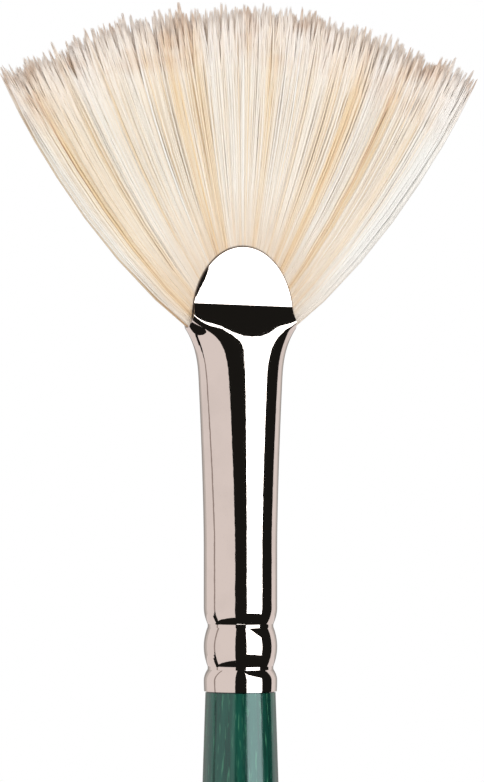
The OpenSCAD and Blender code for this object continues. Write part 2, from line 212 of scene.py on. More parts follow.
def angle_prop(name, description, degrees, low, high):
    return FloatProperty(name=name, description=description, default=math.radians(degrees),
                         min=low, max=high, subtype="ANGLE")


def strength_prop(name, description, default, high):
    return FloatProperty(name=name, description=description, default=default, min=0, max=high)


def count_prop(name, description, default, low, high):
    return IntProperty(name=name, description=description, default=default, min=low, max=high)


def colour_prop(name, description, default):
    return FloatVectorProperty(name=name, description=description, default=default, size=3,
                               min=0, max=1, subtype="COLOR")


class HandleSettings(bpy.types.PropertyGroup):
    belly_r: length_prop("Belly radius", "Radius where the fingers hold the brush",
                         0.0045, 0.003, 0.008)
    tail_r: length_prop("Tail radius", "Radius just above the rounded end",
                        0.0023, 0.0015, 0.004)
    belly_drop: length_prop("Belly drop", "Distance from the ferrule down to the belly",
                            0.038, 0.02, 0.07)
    lacquer: colour_prop("Lacquer", "Colour of the green lacquer over the wood",
                         (0.007, 0.078, 0.052))
    deep_lacquer: colour_prop("Deep lacquer", "Colour where the lacquer lies thick in the grain",
                              (0.003, 0.026, 0.020))


class FerruleSettings(bpy.types.PropertyGroup):
    nickel: colour_prop("Nickel", "Colour of the polished nickel plate", (0.95, 0.87, 0.81))
    sides: count_prop("Sides", "Number of columns of faces round the ferrule", 240, 64, 256)


class BristleSettings(bpy.types.PropertyGroup):
    count: count_prop("Bristles in a layer", "Number of bristles in each of the three layers",
                      3500, 200, 3500)
    root_w: length_prop("Root width", "Width of a bristle where it leaves the ferrule",
                        0.0002, 0.00005, 0.0004, precision=5)
    leave_angle: angle_prop("Leaving angle",
                            "Angle at which the outermost bristles leave the mouth", 52, 0.5, 1.0)
    tip_angle: angle_prop("Tip angle", "Angle of the outermost bristles at their tips",
                          29, 0.3, 0.8)
    pale: colour_prop("Pale bristle", "Colour of the palest bristles", (0.955, 0.868, 0.76))
    straw: colour_prop("Straw bristle", "Colour of the darker bristles", (0.92, 0.72, 0.47))
    tip: colour_prop("Bristle tip", "Colour of the split tips", (1.0, 0.91, 0.85))


class StageSettings(bpy.types.PropertyGroup):
    azimuth: angle_prop("Camera azimuth", "Angle of the camera from the front, to the right",
                        -12, -math.pi, math.pi)
    distance: length_prop("Camera distance", "Distance from the camera to the brush",
                          0.7, 0.2, 5, precision=2)
    aim_z: length_prop("Aim height", "Height that the camera looks at",
                       0.28166, 0, 0.5, precision=5)
    aim_x: length_prop("Aim across", "How far to the right of the axis the camera looks",
                       0.00016, -0.1, 0.1, precision=5)
    view_h: length_prop("View height", "Height that the camera's picture covers",
                        0.08252, 0.02, 1, precision=5)
    floor: colour_prop("Floor", "Colour of the floor", (0.88, 0.88, 0.87))
    softbox: strength_prop("Softbox", "Brightness of the softbox on the right", 3.2, 20)
    key: strength_prop("Key light", "Brightness of the lamp beside the camera", 1.2, 20)
    sky: strength_prop("Fill light", "Strength of the even light from all round", 0.9, 3)


# ---------------------------------------------------------------- shared mesh helpers

def finish_piece(piece, slot, material, node=None):
    """Links a finished piece, rides it on the one body and gives it its finish."""
    if piece.name not in bpy.context.scene.collection.all_objects:
        bpy.context.scene.collection.objects.link(piece)
    piece.data.materials.clear()
    piece.data.materials.append(material)
    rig.ride(piece, "root")
    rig.slot(piece, slot)
    if node:
        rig.replaces(piece, node)


def piece_from(bm, name, smooth=True):
    mesh = bpy.data.meshes.new(name)
    for face in bm.faces:
        face.smooth = smooth
    bm.to_mesh(mesh)
    bm.free()
    return bpy.data.objects.new(name, mesh)


def spin_profile(points, steps):
    """A closed solid of revolution round Z, from (radius, height) points."""
    bm = bmesh.new()
    verts = [bm.verts.new((r, 0.0, z)) for r, z in points]
    edges = [bm.edges.new(pair) for pair in zip(verts, verts[1:])]
    bmesh.ops.spin(bm, geom=verts + edges, axis=(0, 0, 1), cent=(0, 0, 0),
                   angle=2 * math.pi, steps=steps, use_merge=True)
    bmesh.ops.remove_doubles(bm, verts=bm.verts[:], dist=1e-7)
    bmesh.ops.recalc_face_normals(bm, faces=bm.faces[:])
    return bm


def loft(bm, sides, rings, closed_foot=False):
    """Extrudes one ring of points after another, and returns the first and last edges."""
    column = bm.verts.layers.int.new("column")
    ring = bmesh.ops.create_circle(bm, cap_ends=closed_foot, segments=sides, radius=1.0)["verts"]
    for i, vert in enumerate(ring):
        vert[column] = i
    first = edges = bm.edges[:]
    for k, points in enumerate(rings):
        if k:
            moved = bmesh.ops.extrude_edge_only(bm, edges=edges)["geom"]
            ring = [v for v in moved if isinstance(v, bmesh.types.BMVert)]
            edges = [e for e in moved if isinstance(e, bmesh.types.BMEdge)]
        for vert in ring:
            vert.co = points[vert[column]]
    return first, edges


# ---------------------------------------------------------------- shared node groups

def put(node, place, value):
    """Sets one of a node's inputs, or links an output to it."""
    socket = node.inputs[place]
    if isinstance(value, bpy.types.NodeSocket):
        node.id_data.links.new(value, socket)
    elif socket.type == "RGBA":
        socket.default_value = (*value, 1.0)
    else:
        socket.default_value = value


def fill(node, **named):
    """Fills a node's inputs by name. A name in lower case is one of its settings instead."""
    for name, value in named.items():
        if name.islower():
            setattr(node, name, value)
        else:
            put(node, name.replace("_", " "), value)
    return node


def add_node(tree, kind, *values, **named):
    """A new node with its inputs filled, in their order or by name."""
    node = tree.nodes.new("ShaderNode" + kind)
    for place, value in enumerate(values):
        put(node, place, value)
    return fill(node, **named)


def map_range(tree, value, from_min, from_max, to_min=0.0, to_max=1.0):
    """A value moved from one range to another, and held inside it."""
    node = add_node(tree, "MapRange", value, from_min, from_max, to_min, to_max)
    return node.outputs["Result"]


def mix_colour(tree, mask, a, b, blend="MIX"):
    """Mixes two colours or colour outputs by a value output."""
    mix = add_node(tree, "Mix", mask, data_type="RGBA", blend_type=blend)
    put(mix, 6, a)
    put(mix, 7, b)
    return mix.outputs[2]


def noise_of(tree, coords, scale, detail=2.0):
    """A plain noise pattern."""
    return add_node(tree, "TexNoise", Vector=coords, Scale=scale, Detail=detail).outputs["Fac"]


def new_group(name, inputs, outputs):
    """A node group that reads a Vector and some values, and gives values."""
    group = bpy.data.node_groups.new(name, "ShaderNodeTree")
    add = group.interface.new_socket
    add("Vector", in_out="INPUT", socket_type="NodeSocketVector")
    for label, default in inputs.items():
        add(label, in_out="INPUT", socket_type="NodeSocketFloat").default_value = default
    for label in outputs:
        add(label, in_out="OUTPUT", socket_type="NodeSocketFloat")
    return group, group.nodes.new("NodeGroupInput").outputs, group.nodes.new("NodeGroupOutput")


def grain_group(name):
    """Fibres that run along Z: wood grain, or bristles laid side by side."""
    tree, given, out = new_group(name, {"Across": 900.0, "Along": 40.0, "Detail": 4.0}, ["Grain"])
    scales = add_node(tree, "CombineXYZ", given["Across"], given["Across"], given["Along"])
    stretch = add_node(tree, "VectorMath", given["Vector"], scales.outputs["Vector"],
                       operation="MULTIPLY")
    noise = add_node(tree, "TexNoise", Vector=stretch.outputs["Vector"], Scale=1.0,
                     Detail=given["Detail"], Roughness=0.6)
    fill(out, Grain=noise.outputs["Fac"])
    return tree


def wear_group(name):
    """Handling wear: a smudge mask in soft patches, and fine hairline scratches."""
    tree, given, out = new_group(name, {"Patch scale": 250.0, "Scratch scale": 1400.0},
                                 ["Smudge", "Scratch"])
    patches = noise_of(tree, given["Vector"], given["Patch scale"], 5.0)
    turn = add_node(tree, "Mapping", Vector=given["Vector"], Rotation=(0.5, 0.35, 0.2),
                    Scale=(1.0, 1.0, 0.06))
    lines = noise_of(tree, turn.outputs["Vector"], given["Scratch scale"])
    fill(out, Smudge=map_range(tree, patches, 0.45, 0.75),
         Scratch=map_range(tree, lines, 0.66, 0.72))
    return tree


GROUPS = {"Long grain": grain_group, "Handling wear": wear_group}


def place_group(tree, name, coords, **values):
    """The outputs of a shared node group, which is built the first time it is asked for."""
    group = bpy.data.node_groups.get(name) or GROUPS[name](name)
    return add_node(tree, "Group", node_tree=group, Vector=coords, **values).outputs


def grain_of(tree, coords, across, along, detail):
    """The long grain pattern in a material."""
    return place_group(tree, "Long grain", coords, Across=across, Along=along,
                       Detail=detail)["Grain"]


def new_material(name):
    """A material, its tree, its Principled shader, and Object coordinates to read."""
    material = bpy.data.materials.new(name)
    material.use_nodes = True
    tree = material.node_tree
    coords = add_node(tree, "TexCoord").outputs["Object"]
    return material, tree, tree.nodes["Principled BSDF"], coords


def add_bump(shader, height, strength, distance):
    """Feeds a height into the shader's normal, with its distance in metres."""
    bump = add_node(shader.id_data, "Bump", Strength=strength, Distance=distance, Height=height)
    put(shader, "Normal", bump.outputs["Normal"])


# ---------------------------------------------------------------- handle

def lacquer_material(settings):
    """Clear green lacquer over open-grained wood, with a dark line of painted shade under the ferrule's rim."""
    material, tree, shader, coords = new_material("Green lacquer on wood")
    grain = grain_of(tree, coords, 1500.0, 60.0, 5.0)
    flecks = grain_of(tree, coords, 3800.0, 330.0, 2.0)
    wear = place_group(tree, "Handling wear", coords, Patch_scale=120.0, Scratch_scale=700.0)
    dark = map_range(tree, grain, 0.3, 0.62)
    base = mix_colour(tree, dark, settings.deep_lacquer, settings.lacquer)
    pores = map_range(tree, flecks, 0.59, 0.72, 0.0, 0.8)
    bright = [2.4 * c + extra for c, extra in zip(settings.lacquer, (0.04, 0.03, 0.0))]
    wood = mix_colour(tree, pores, base, bright)
    height = add_node(tree, "SeparateXYZ", coords).outputs["Z"]
    # The thin band just under the ferrule's rim is painted near black: painted shade under the rim.
    shadow_foot, shadow_top = HANDLE_LEN - 0.16 * MM, HANDLE_LEN - 0.08 * MM
    rim_shadow = map_range(tree, height, shadow_foot, shadow_top, 0.0, 0.95)
    fill(shader, Base_Color=mix_colour(tree, rim_shadow, wood, (0.002, 0.004, 0.003)),
         Roughness=map_range(tree, wear["Smudge"], 0.0, 1.0, 0.09, 0.16),
         IOR=1.5, Specular_IOR_Level=0.9, Specular_Tint=(0.7, 0.98, 1.0),
         Coat_Weight=0.25, Coat_Roughness=0.03)
    add_bump(shader, grain, 0.45, 0.00005)
    return material


def handle_r(drop, neck_r, settings):
    """Radius of the handle at a distance below the ferrule."""
    belly_r, belly_drop, tail_r = settings.belly_r, settings.belly_drop, settings.tail_r
    if drop <= belly_drop:
        return neck_r + (belly_r - neck_r) * math.sin(math.pi / 2 * drop / belly_drop)
    way = (drop - belly_drop) / (HANDLE_LEN - belly_drop)
    return tail_r + (belly_r - tail_r) * (1 + math.cos(math.pi * way ** 0.8)) / 2


class OBJECT_OT_brush_handle(bpy.types.Operator):
    """Adds the lacquered wooden handle, with its tenon inside the ferrule"""
    bl_idname = "object.brush_handle"
    bl_label = "Brush handle"

    def execute(self, context):
        settings = context.scene.brush_handle
        neck_r = (TUBE_R - NECK_STEP) * MM
        tail_r, edge = settings.tail_r, 0.4
        end_r = handle_r(HANDLE_LEN - tail_r, neck_r, settings)
        butt = [(end_r * math.sin(t), tail_r * (1 - math.cos(t)))
                for t in np.linspace(0, math.pi / 2, 14)[:-1]]
        shaft = [(handle_r(HANDLE_LEN - z, neck_r, settings), z)
                 for z in np.linspace(tail_r, HANDLE_LEN - GROOVE_D * MM, 150)]
        groove_r = neck_r - GROOVE_D * MM
        shaft += [(groove_r, HANDLE_LEN - GROOVE_H * MM), (groove_r, HANDLE_LEN)]
        tenon = [((float(ferrule_r(z)) - WALL - GLUE_LINE) * MM, HANDLE_LEN + z * MM)
                 for z in np.linspace(0.02, TENON_LEN - edge, 40)]
        top_z = HANDLE_LEN + TENON_LEN * MM
        top = [(tenon[-1][0] - edge * MM, top_z), (0.0, top_z)]
        piece = piece_from(spin_profile(butt + shaft + tenon + top, 128), "lacquered_handle")
        piece.data.set_sharp_from_angle(angle=math.radians(35))
        finish_piece(piece, "handle_lacquer", lacquer_material(settings), "handle")
        return {"FINISHED"}


# ---------------------------------------------------------------- ferrule

def share(z, a, b):
    """How far z is on its way from a to b, from 0 to 1."""
    return np.clip((z - a) / (b - a), 0.0, 1.0)


def ease(way):
    """The same way with a soft start and a soft end."""
    return way * way * (3 - 2 * way)


def bead_r(z, crown, foot, drop):
    """Radius of a rounded bead that is widest at its crown and has dropped in at its foot."""
    return TUBE_R - drop * ((z - crown) / (foot - crown)) ** 2


def ferrule_r(z):
    """Outer radius of the round part of the ferrule at heights z."""
    z = np.asarray(z, float)
    rim_top = LOWER_CRIMP - CRIMP_LAND / 2
    rim_crown = rim_top * 0.48
    mid_foot = LOWER_CRIMP + CRIMP_LAND / 2
    mid_top = UPPER_CRIMP - CRIMP_LAND / 2
    shoulder_foot = UPPER_CRIMP + CRIMP_LAND / 2
    land = np.full_like(z, TUBE_R - CRIMP_DEPTH)
    return np.select(
        [z <= rim_crown, z <= rim_top, z <= mid_foot, z <= mid_top, z <= shoulder_foot,
         z <= SHOULDER_Z],
        [bead_r(z, rim_crown, 0, RIM_CURL), bead_r(z, rim_crown, rim_top, CRIMP_DEPTH), land,
         bead_r(z, (mid_foot + mid_top) / 2, mid_top, CRIMP_DEPTH), land,
         bead_r(z, SHOULDER_Z, shoulder_foot, CRIMP_DEPTH)], TUBE_R)


def flare_a(z):
    """How much wider than the tube the oval has become at heights z."""
    return (FLARE_R - TUBE_R) * (np.clip(z - STRAIGHT_Z, 0, None) / (PINCH_Z - STRAIGHT_Z)) ** 1.5


def section(x, z):
    """Half width and half thickness of the oval at heights z, and how far from the middle
    a jaw presses it. The last two depend on x too: the oval swells a little in a soft lip
    beside the jaws, and the jaws' crease leans."""
    top = np.minimum(z, CREASE_Z)
    spread = np.clip((top - PINCH_Z) / (FOLD_Z - PINCH_Z), 0, None)
    a = ferrule_r(z) + flare_a(top) + (FOLD_W / 2 - TUBE_R - flare_a(FOLD_Z)) * spread ** 2.7
    b = ferrule_r(z) + (THROAT_R - TUBE_R) * share(z, STRAIGHT_Z, CREASE_Z) ** 1.3
    jaw = NOSE_T / 2 + JAW_SLOPE * np.clip(CREASE_Z - z - CREASE_TILT * x, 0, None)
    from_arch = 1 - (2 * x / ARCH_W) ** 2 - ((z - ARCH_Z) / ARCH_H) ** 2
    knock = np.exp(-((from_arch + 0.12) / 0.14) ** 2
                   - ((z - CREASE_Z - KNOCK_RISE) / KNOCK_REACH) ** 2)
    jaw = jaw - np.where(x < 0, KNOCK_DEPTH, 0.0) * knock
    beside = np.clip((np.abs(x) - LIP_START) / LIP_RAMP, 0, 1)
    lip = ease(beside) * np.exp(-((z - CREASE_Z + LIP_DROP) / LIP_REACH) ** 2)
    return a, b + LIP_SWELL * lip, jaw


def pressed(y, limit):
    """Presses a distance y from the middle in under a limit, with a rounded edge."""
    return y * limit / (np.abs(y) ** JAW_EDGE + limit ** JAW_EDGE) ** (1 / JAW_EDGE)


def ring_points(sides, z, inset):
    """Points that lie evenly along the ferrule's outline at height z, in metres."""
    a, b, jaw = section(0.0, z)
    fine = np.linspace(0, math.pi / 2, 600)
    run = np.cumsum(np.hypot(np.diff(a * np.cos(fine), prepend=a),
                             np.diff(pressed(b * np.sin(fine), jaw), prepend=0)))
    quarter = np.interp(np.linspace(0, run[-1], sides // 4 + 1), run, fine)
    turn = np.concatenate([quarter[:-1], math.pi - quarter[:0:-1], math.pi + quarter[:-1],
                           2 * math.pi - quarter[:0:-1]])
    x = (a - inset) * np.cos(turn)
    _, b, jaw = section(x, z)
    y = pressed((b - inset) * np.sin(turn), jaw - inset)
    return np.stack([x * MM, y * MM, np.full_like(x, HANDLE_LEN + z * MM)], axis=-1)


def ferrule_heights():
    """Heights of the ferrule's rings, closest together where it bends most. The top ring
    stands over the arch, so that the cutter trims it."""
    stops = (0, SHOULDER_Z, JAW_FOOT - 1.2, CREASE_Z - 0.25, CREASE_Z + 0.25, FERRULE_LEN + 0.3)
    runs = [np.linspace(low, high, rings)
            for low, high, rings in zip(stops, stops[1:], (110, 50, 60, 21, 24))]
    return np.concatenate([runs[0]] + [run[1:] for run in runs[1:]])


def skin_normals(points, inset):
    """Unit normals of the ferrule's skin at points in millimetres, by its implicit form."""
    def level(x, y, z):
        a, b, jaw = section(x, z)
        oval = (x / (a - inset)) ** 2 + (y / (b - inset)) ** 2
        return (oval ** (JAW_EDGE / 2) + np.abs(y / (jaw - inset)) ** JAW_EDGE) ** (1 / JAW_EDGE)
    step = 0.01
    x, y, z = points.T
    low = np.maximum(z - step, 0.0)
    slope = np.stack([
        (level(x + step, y, z) - level(x - step, y, z)) / (2 * step),
        (level(x, y + step, z) - level(x, y - step, z)) / (2 * step),
        (level(x, y, z + step) - level(x, y, low)) / (z + step - low)], axis=-1)
    return slope / np.linalg.norm(slope, axis=-1, keepdims=True)


def mouth_cutter():
    """The block that trims the mouth to its arch, with a sill over each fold."""
    far, top, deep = FOLD_W / 2 + 4, FERRULE_LEN + 4, 8
    turns = np.radians(np.linspace(175, 5, 97))
    arch = [(ARCH_W / 2 * math.cos(t), ARCH_Z + ARCH_H * math.sin(t)) for t in turns]
    outline = [(-far, SILL_Z), (-SILL_X, SILL_Z)] + arch + [(SILL_X, SILL_Z), (far, SILL_Z),
                                                           (far, top), (-far, top)]
    bm = bmesh.new()
    verts = [bm.verts.new((x * MM, -deep * MM, HANDLE_LEN + z * MM)) for x, z in outline]
    face = bm.faces.new(verts)
    moved = bmesh.ops.extrude_face_region(bm, geom=[face])["geom"]
    bmesh.ops.translate(bm, verts=[v for v in moved if isinstance(v, bmesh.types.BMVert)],
                        vec=(0, 2 * deep * MM, 0))
    bmesh.ops.triangulate(bm, faces=bm.faces[:])
    bmesh.ops.recalc_face_normals(bm, faces=bm.faces[:])
    return piece_from(bm, "mouth_cutter", smooth=False)


def ferrule_shell(sides):
    """The ferrule's wall: outer rings going up, then inner rings coming down, every
    fourth height of the outer ones."""
    heights = ferrule_heights()
    stack = [(z, 0.0) for z in heights] + [(z, WALL) for z in heights[::-4]] + [(0.0, WALL)]
    bm = bmesh.new()
    first, last = loft(bm, sides, [ring_points(sides, z, inset) for z, inset in stack])
    bmesh.ops.bridge_loops(bm, edges=first + last)
    bmesh.ops.recalc_face_normals(bm, faces=bm.faces[:])
    return piece_from(bm, "nickel_ferrule")


def trim(piece, cutter):
    """Cuts the cutter's shape out of the piece, and applies the cut."""
    scene = bpy.context.scene.collection.objects
    scene.link(piece)
    scene.link(cutter)
    cut = piece.modifiers.new("Mouth", "BOOLEAN")
    cut.operation = "DIFFERENCE"
    cut.object = cutter
    cut.solver = "MANIFOLD"
    bpy.context.view_layer.update()
    evaluated = piece.evaluated_get(bpy.context.evaluated_depsgraph_get())
    mesh = bpy.data.meshes.new_from_object(evaluated)
    piece.modifiers.clear()
    piece.data = mesh
    bpy.data.objects.remove(cutter)


def read_vectors(items, name):
    values = np.zeros(len(items) * 3)
    items.foreach_get(name, values)
    return values.reshape(-1, 3)


def above_rim(points):
    """Points in millimetres above the ferrule's lower rim."""
    return (points - [0, 0, HANDLE_LEN]) / MM


def polish(mesh):
    """Gives each corner the true normal of the skin, and keeps the cut edges flat."""
    mesh.shade_smooth()
    co = above_rim(read_vectors(mesh.vertices, "co"))
    centres = above_rim(read_vectors(mesh.polygons, "center"))
    face_normal = read_vectors(mesh.polygons, "normal")
    facing = np.sum(skin_normals(centres, 0.0) * face_normal, axis=1)
    sizes = np.zeros(len(mesh.polygons), int)
    mesh.polygons.foreach_get("loop_total", sizes)
    vertex = np.zeros(len(mesh.loops), int)
    mesh.loops.foreach_get("vertex_index", vertex)
    facing, face_normal = np.repeat(facing, sizes), np.repeat(face_normal, sizes, axis=0)
    outer, inner = skin_normals(co, 0.0)[vertex], -skin_normals(co, WALL)[vertex]
    along_skin = 0.6
    normals = np.where((facing > along_skin)[:, None], outer,
                       np.where((facing < -along_skin)[:, None], inner, face_normal))
    mesh.normals_split_custom_set(normals.tolist())


def nickel_material(settings):
    """Bright nickel plate with slight smudges, hairline scratches and a faint ripple."""
    material, tree, shader, coords = new_material("Polished nickel")
    wear = place_group(tree, "Handling wear", coords, Patch_scale=260.0, Scratch_scale=2400.0)
    dull = [0.93 * c for c in settings.nickel]
    fill(shader, Base_Color=mix_colour(tree, wear["Smudge"], settings.nickel, dull),
         Metallic=1.0, Roughness=map_range(tree, wear["Smudge"], 0.0, 1.0, 0.035, 0.07))
    uneven = add_node(tree, "Math", wear["Scratch"], 0.02, noise_of(tree, coords, 420.0, 3.0),
                      operation="MULTIPLY_ADD")
    add_bump(shader, uneven.outputs["Value"], 0.5, 0.00004)
    return material


class OBJECT_OT_brush_ferrule(bpy.types.Operator):
    """Adds the nickel ferrule, with its crimps, pressed nose and arched mouth"""
    bl_idname = "object.brush_ferrule"
    bl_label = "Brush ferrule"

    def execute(self, context):
        settings = context.scene.brush_ferrule
        piece = ferrule_shell(settings.sides)
        trim(piece, mouth_cutter())
        polish(piece.data)
        finish_piece(piece, "ferrule_nickel", nickel_material(settings), "ferrule")
        return {"FINISHED"}


# ---------------------------------------------------------------- bristles

def read_attribute(tree, name):
    return add_node(tree, "Attribute", attribute_name=name).outputs["Fac"]


def tone_ramp(tree, tone, settings):
    """The bristles' colours, from the darkest tone to the palest."""
    ramp = add_node(tree, "ValToRGB", tone)
    steps = ramp.color_ramp.elements
    straw, pale = Vector(settings.straw), Vector(settings.pale)
    brown, white = Vector((0.66, 0.43, 0.26)), Vector((0.955, 0.93, 0.885))
    stops = [(0.0, brown), (0.14, straw), (0.38, straw.lerp(pale, 0.6)), (0.62, pale),
             (1.0, white)]
    steps[0].position, steps[1].position = stops[0][0], stops[-1][0]
    steps[0].color, steps[1].color = (*stops[0][1], 1), (*stops[-1][1], 1)
    for position, colour in stops[1:-1]:
        steps.new(position).color = (*colour, 1)
    return ramp.outputs["Color"]


def arch_ring(tree, coords):
    """How far out from the mouth's arched edge a point lies, as seen from the front: 1 on
    the edge itself."""
    over_arch = add_node(tree, "VectorMath", coords, (2 / ARCH_W / MM, 0, 1 / ARCH_H / MM),
                         (0, 0, -(HANDLE_LEN / MM + ARCH_Z) / ARCH_H), operation="MULTIPLY_ADD")
    ring = add_node(tree, "VectorMath", over_arch.outputs["Vector"], operation="LENGTH")
    return ring.outputs["Value"]


def bristle_material(name, settings):
    """Bristles in their tones, which run darker and tanner on deeper bristles as painted shade,
    with brown patches at the tips, a warmer, darker foot that is partly the roots' own tone and
    partly painted shade, and a dark line of painted shadow along the mouth's edge."""
    material, tree, shader, coords = new_material(name)
    way = read_attribute(tree, "way")
    colour = tone_ramp(tree, read_attribute(tree, "tone"), settings)
    browned = map_range(tree, noise_of(tree, coords, 240.0), 0.5, 0.64, 0.0, 0.8)
    tip = mix_colour(tree, browned, settings.tip, (0.80, 0.58, 0.44))
    near_tip = map_range(tree, way, 0.74, 1.0, 0.0, 0.75)
    colour = mix_colour(tree, near_tip, colour, tip)
    # The foot is made warmer and darker: partly the roots' own warmer tone, partly painted shade by the mouth.
    root_tone_and_shade = map_range(tree, way, 0.34, 0.08, 0.0, 1.0)
    colour = mix_colour(tree, root_tone_and_shade, colour, (0.925, 0.855, 0.785), "MULTIPLY")
    # A thin near-black line along the mouth's arched edge: painted shadow where the bristles leave the nose.
    arch_shadow = map_range(tree, arch_ring(tree, coords), 1.010, 1.036, 0.95, 0.0)
    grain = grain_of(tree, coords, 6000.0, 1500.0, 2.0)
    fill(shader, Base_Color=mix_colour(tree, arch_shadow, colour, (0.06, 0.035, 0.022)),
         Roughness=map_range(tree, grain, 0.2, 0.8, 0.38, 0.55), Specular_IOR_Level=0.4)
    return material


def arch_point(u, v, root_a):
    """Where a bristle stands in the mouth's arch of roots. u and v run from -1 to 1."""
    return np.stack([root_a * np.sin(np.pi / 2 * u) * np.sqrt(1 - 0.12 * v * v), ROOT_Y * v,
                     ROOT_Z + ROOT_H * np.cos(np.pi / 2 * u)], axis=-1)


def tip_point(u, v, extra):
    """Where a bristle's tip stands on the fan's arc, or past it by an extra length."""
    reach, turn = FAN_R + extra, TIP_SPREAD * u
    return np.stack([reach * np.sin(turn), FAN_T / 2 * v, FAN_Z + reach * np.cos(turn)], axis=-1)


def aim(angle):
    """Directions at an angle from straight up, in the plane of the fan."""
    return np.stack([np.sin(angle), np.zeros_like(angle), np.cos(angle)], axis=-1)


def soft_noise(rng, positions, cells):
    """Smooth random values from 0 to 1 along -1 to 1."""
    knots = rng.random(cells + 1)
    return np.interp((positions + 1) / 2 * cells, np.arange(cells + 1), knots)


def spread_roots(rng, layer, n):
    """Across and deep positions of one layer's bristles and of their clumps, and how far
    each tip stands past the fan's arc."""
    low, high = -1 + 2 * layer / len(LAYERS), -1 + 2 * (layer + 1) / len(LAYERS)
    clumps, depths = 66, 2
    row = rng.integers(0, depths, n)
    slot = rng.integers(0, clumps, n)
    clump_id = row * clumps + slot
    shift = rng.normal(0, 0.13, depths * clumps)[clump_id]
    clump_u = -1 + 2 * (slot + 0.5 + 0.5 * (row % 2) - 0.25 + shift) / clumps
    clump_v = low + (high - low) * (row + 0.5) / depths
    u = np.clip(clump_u + rng.uniform(-1.25, 1.25, n) / clumps, -1, 1)
    v = np.clip(clump_v + rng.uniform(-0.6, 0.6, n) * (high - low) / depths, low, high)
    outside = (high - low) * rng.random(n) ** 3
    v = np.where(rng.random(n) < 0.5, (low + outside, v, high - outside)[layer], v)
    long_wave = soft_noise(rng, clump_u, 14) * 1.1 - 0.55
    clump_extra = rng.normal(0, 0.45, depths * clumps)[clump_id]
    extra = np.clip(long_wave + clump_extra - np.abs(rng.normal(0, 0.5, n)), -3.0, 1.3)
    inside = ((v - low) / (high - low), np.ones(n), (high - v) / (high - low))[layer]
    return u, v, clump_u, clump_v, extra, inside


def bristle_paths(rng, u, v, clump_u, clump_v, extra, settings):
    """A path for each bristle, from its foot in the nose to the tip of its clump."""
    n = len(u)
    root_a = SILL_X - 0.14 - (SILL_Z - ROOT_Z) * math.tan(settings.leave_angle)
    start = arch_point(u, v, root_a)
    own = tip_point(u, v, extra)
    pull = rng.uniform(0.65, 0.98, n)[:, None]
    tip = tip_point(np.clip(clump_u, -1, 1), clump_v * 0.85, extra)
    reach = np.linalg.norm(own - start, axis=1, keepdims=True) / 3
    p1 = start + reach * aim(settings.leave_angle * u)
    p2 = own - reach * aim(settings.tip_angle * u)
    t = STRAND_T[None, :, None]
    curve = (start[:, None] * (1 - t) ** 3 + 3 * p1[:, None] * t * (1 - t) ** 2
             + 3 * p2[:, None] * t * t * (1 - t) + own[:, None] * t ** 3)
    curve = curve + ease(share(t, 0.8, 1.0)) * (pull * (tip - own))[:, None]
    bend = np.sin(np.pi * t)
    bow = rng.normal(0, 0.16, (n, 1, 1)) * bend
    curve[:, :, 0:1] += bow * np.cos(TIP_SPREAD * u)[:, None, None]
    curve[:, :, 1:2] += rng.normal(0, 0.10, (n, 1, 1)) * bend * np.clip(t * 2, 0, 1)
    foot = start * (0.94, 0.9, 1.0)
    foot[:, 2] = FOOT_Z
    return np.concatenate([foot[:, None], curve], axis=1)


def bristle_layer(layer, settings):
    """Paths, radii, tones and ways along for one layer's bristles."""
    rng = np.random.default_rng(40 + layer)
    n = settings.count
    u, v, clump_u, clump_v, extra, inside = spread_roots(rng, layer, n)
    paths = bristle_paths(rng, u, v, clump_u, clump_v, extra, settings)
    thick = rng.normal(1, 0.16, (n, 1)).clip(0.6, 1.5)
    along = np.concatenate([[0.0], STRAND_T])[None]
    taper = np.interp(along, [0, 0.55, 0.85, 0.97, 1], [1, 1.05, 0.95, 0.6, 0.08])
    radii = settings.root_w / MM / 2 / 0.87 * thick * taper
    tone = (0.02 + 0.50 * soft_noise(rng, u, 26) + 0.46 * soft_noise(rng, u, 84)
            + rng.normal(0, 0.07, n) - 0.12 * (rng.random(n) < 0.06))
    tone += 0.3 * share(u, 0.7, 1.0)
    # Bristles deeper inside the tuft get darker, tanner tones: painted shade in the gaps between bristles.
    tone += 0.06 - 0.24 * inside
    return paths, radii, tone.clip(0, 1), np.broadcast_to(along, (n, POINTS))


def tube_mesh(name, paths, radii):
    """One mesh of thin three-sided tubes, from the bevel of a curve object."""
    profile_data = bpy.data.curves.new("bristle_profile", "CURVE")
    profile_data.dimensions = "2D"
    profile = profile_data.splines.new("POLY")
    profile.points.add(HAIR_SIDES - 1)
    for point, turn in zip(profile.points, (90, 210, 330)):
        point.co = (math.cos(math.radians(turn)), math.sin(math.radians(turn)), 0, 1)
    profile.use_cyclic_u = True
    profile_object = bpy.data.objects.new("bristle_profile", profile_data)
    data = bpy.data.curves.new(name, "CURVE")
    data.dimensions = "3D"
    data.bevel_mode = "OBJECT"
    data.bevel_object = profile_object
    data.twist_mode = "MINIMUM"
    data.resolution_u = 1
    world = paths * MM + np.array([0, 0, HANDLE_LEN])
    ones = np.ones((paths.shape[1], 1))
    third_turn = 2.1
    tilts = np.random.default_rng(len(paths)).uniform(0, third_turn, len(paths))
    for path, radius, tilt in zip(world, radii, tilts):
        spline = data.splines.new("POLY")
        spline.points.add(len(path) - 1)
        spline.points.foreach_set("co", np.hstack([path, ones]).ravel())
        spline.points.foreach_set("radius", radius * MM)
        spline.points.foreach_set("tilt", np.full(len(path), tilt))
    curve = bpy.data.objects.new(name + "_curve", data)
    bpy.context.scene.collection.objects.link(curve)
    bpy.context.scene.collection.objects.link(profile_object)
    bpy.context.view_layer.update()
    evaluated = curve.evaluated_get(bpy.context.evaluated_depsgraph_get())
    mesh = bpy.data.meshes.new_from_object(evaluated)
    bpy.data.objects.remove(curve)
    bpy.data.objects.remove(profile_object)
    return mesh


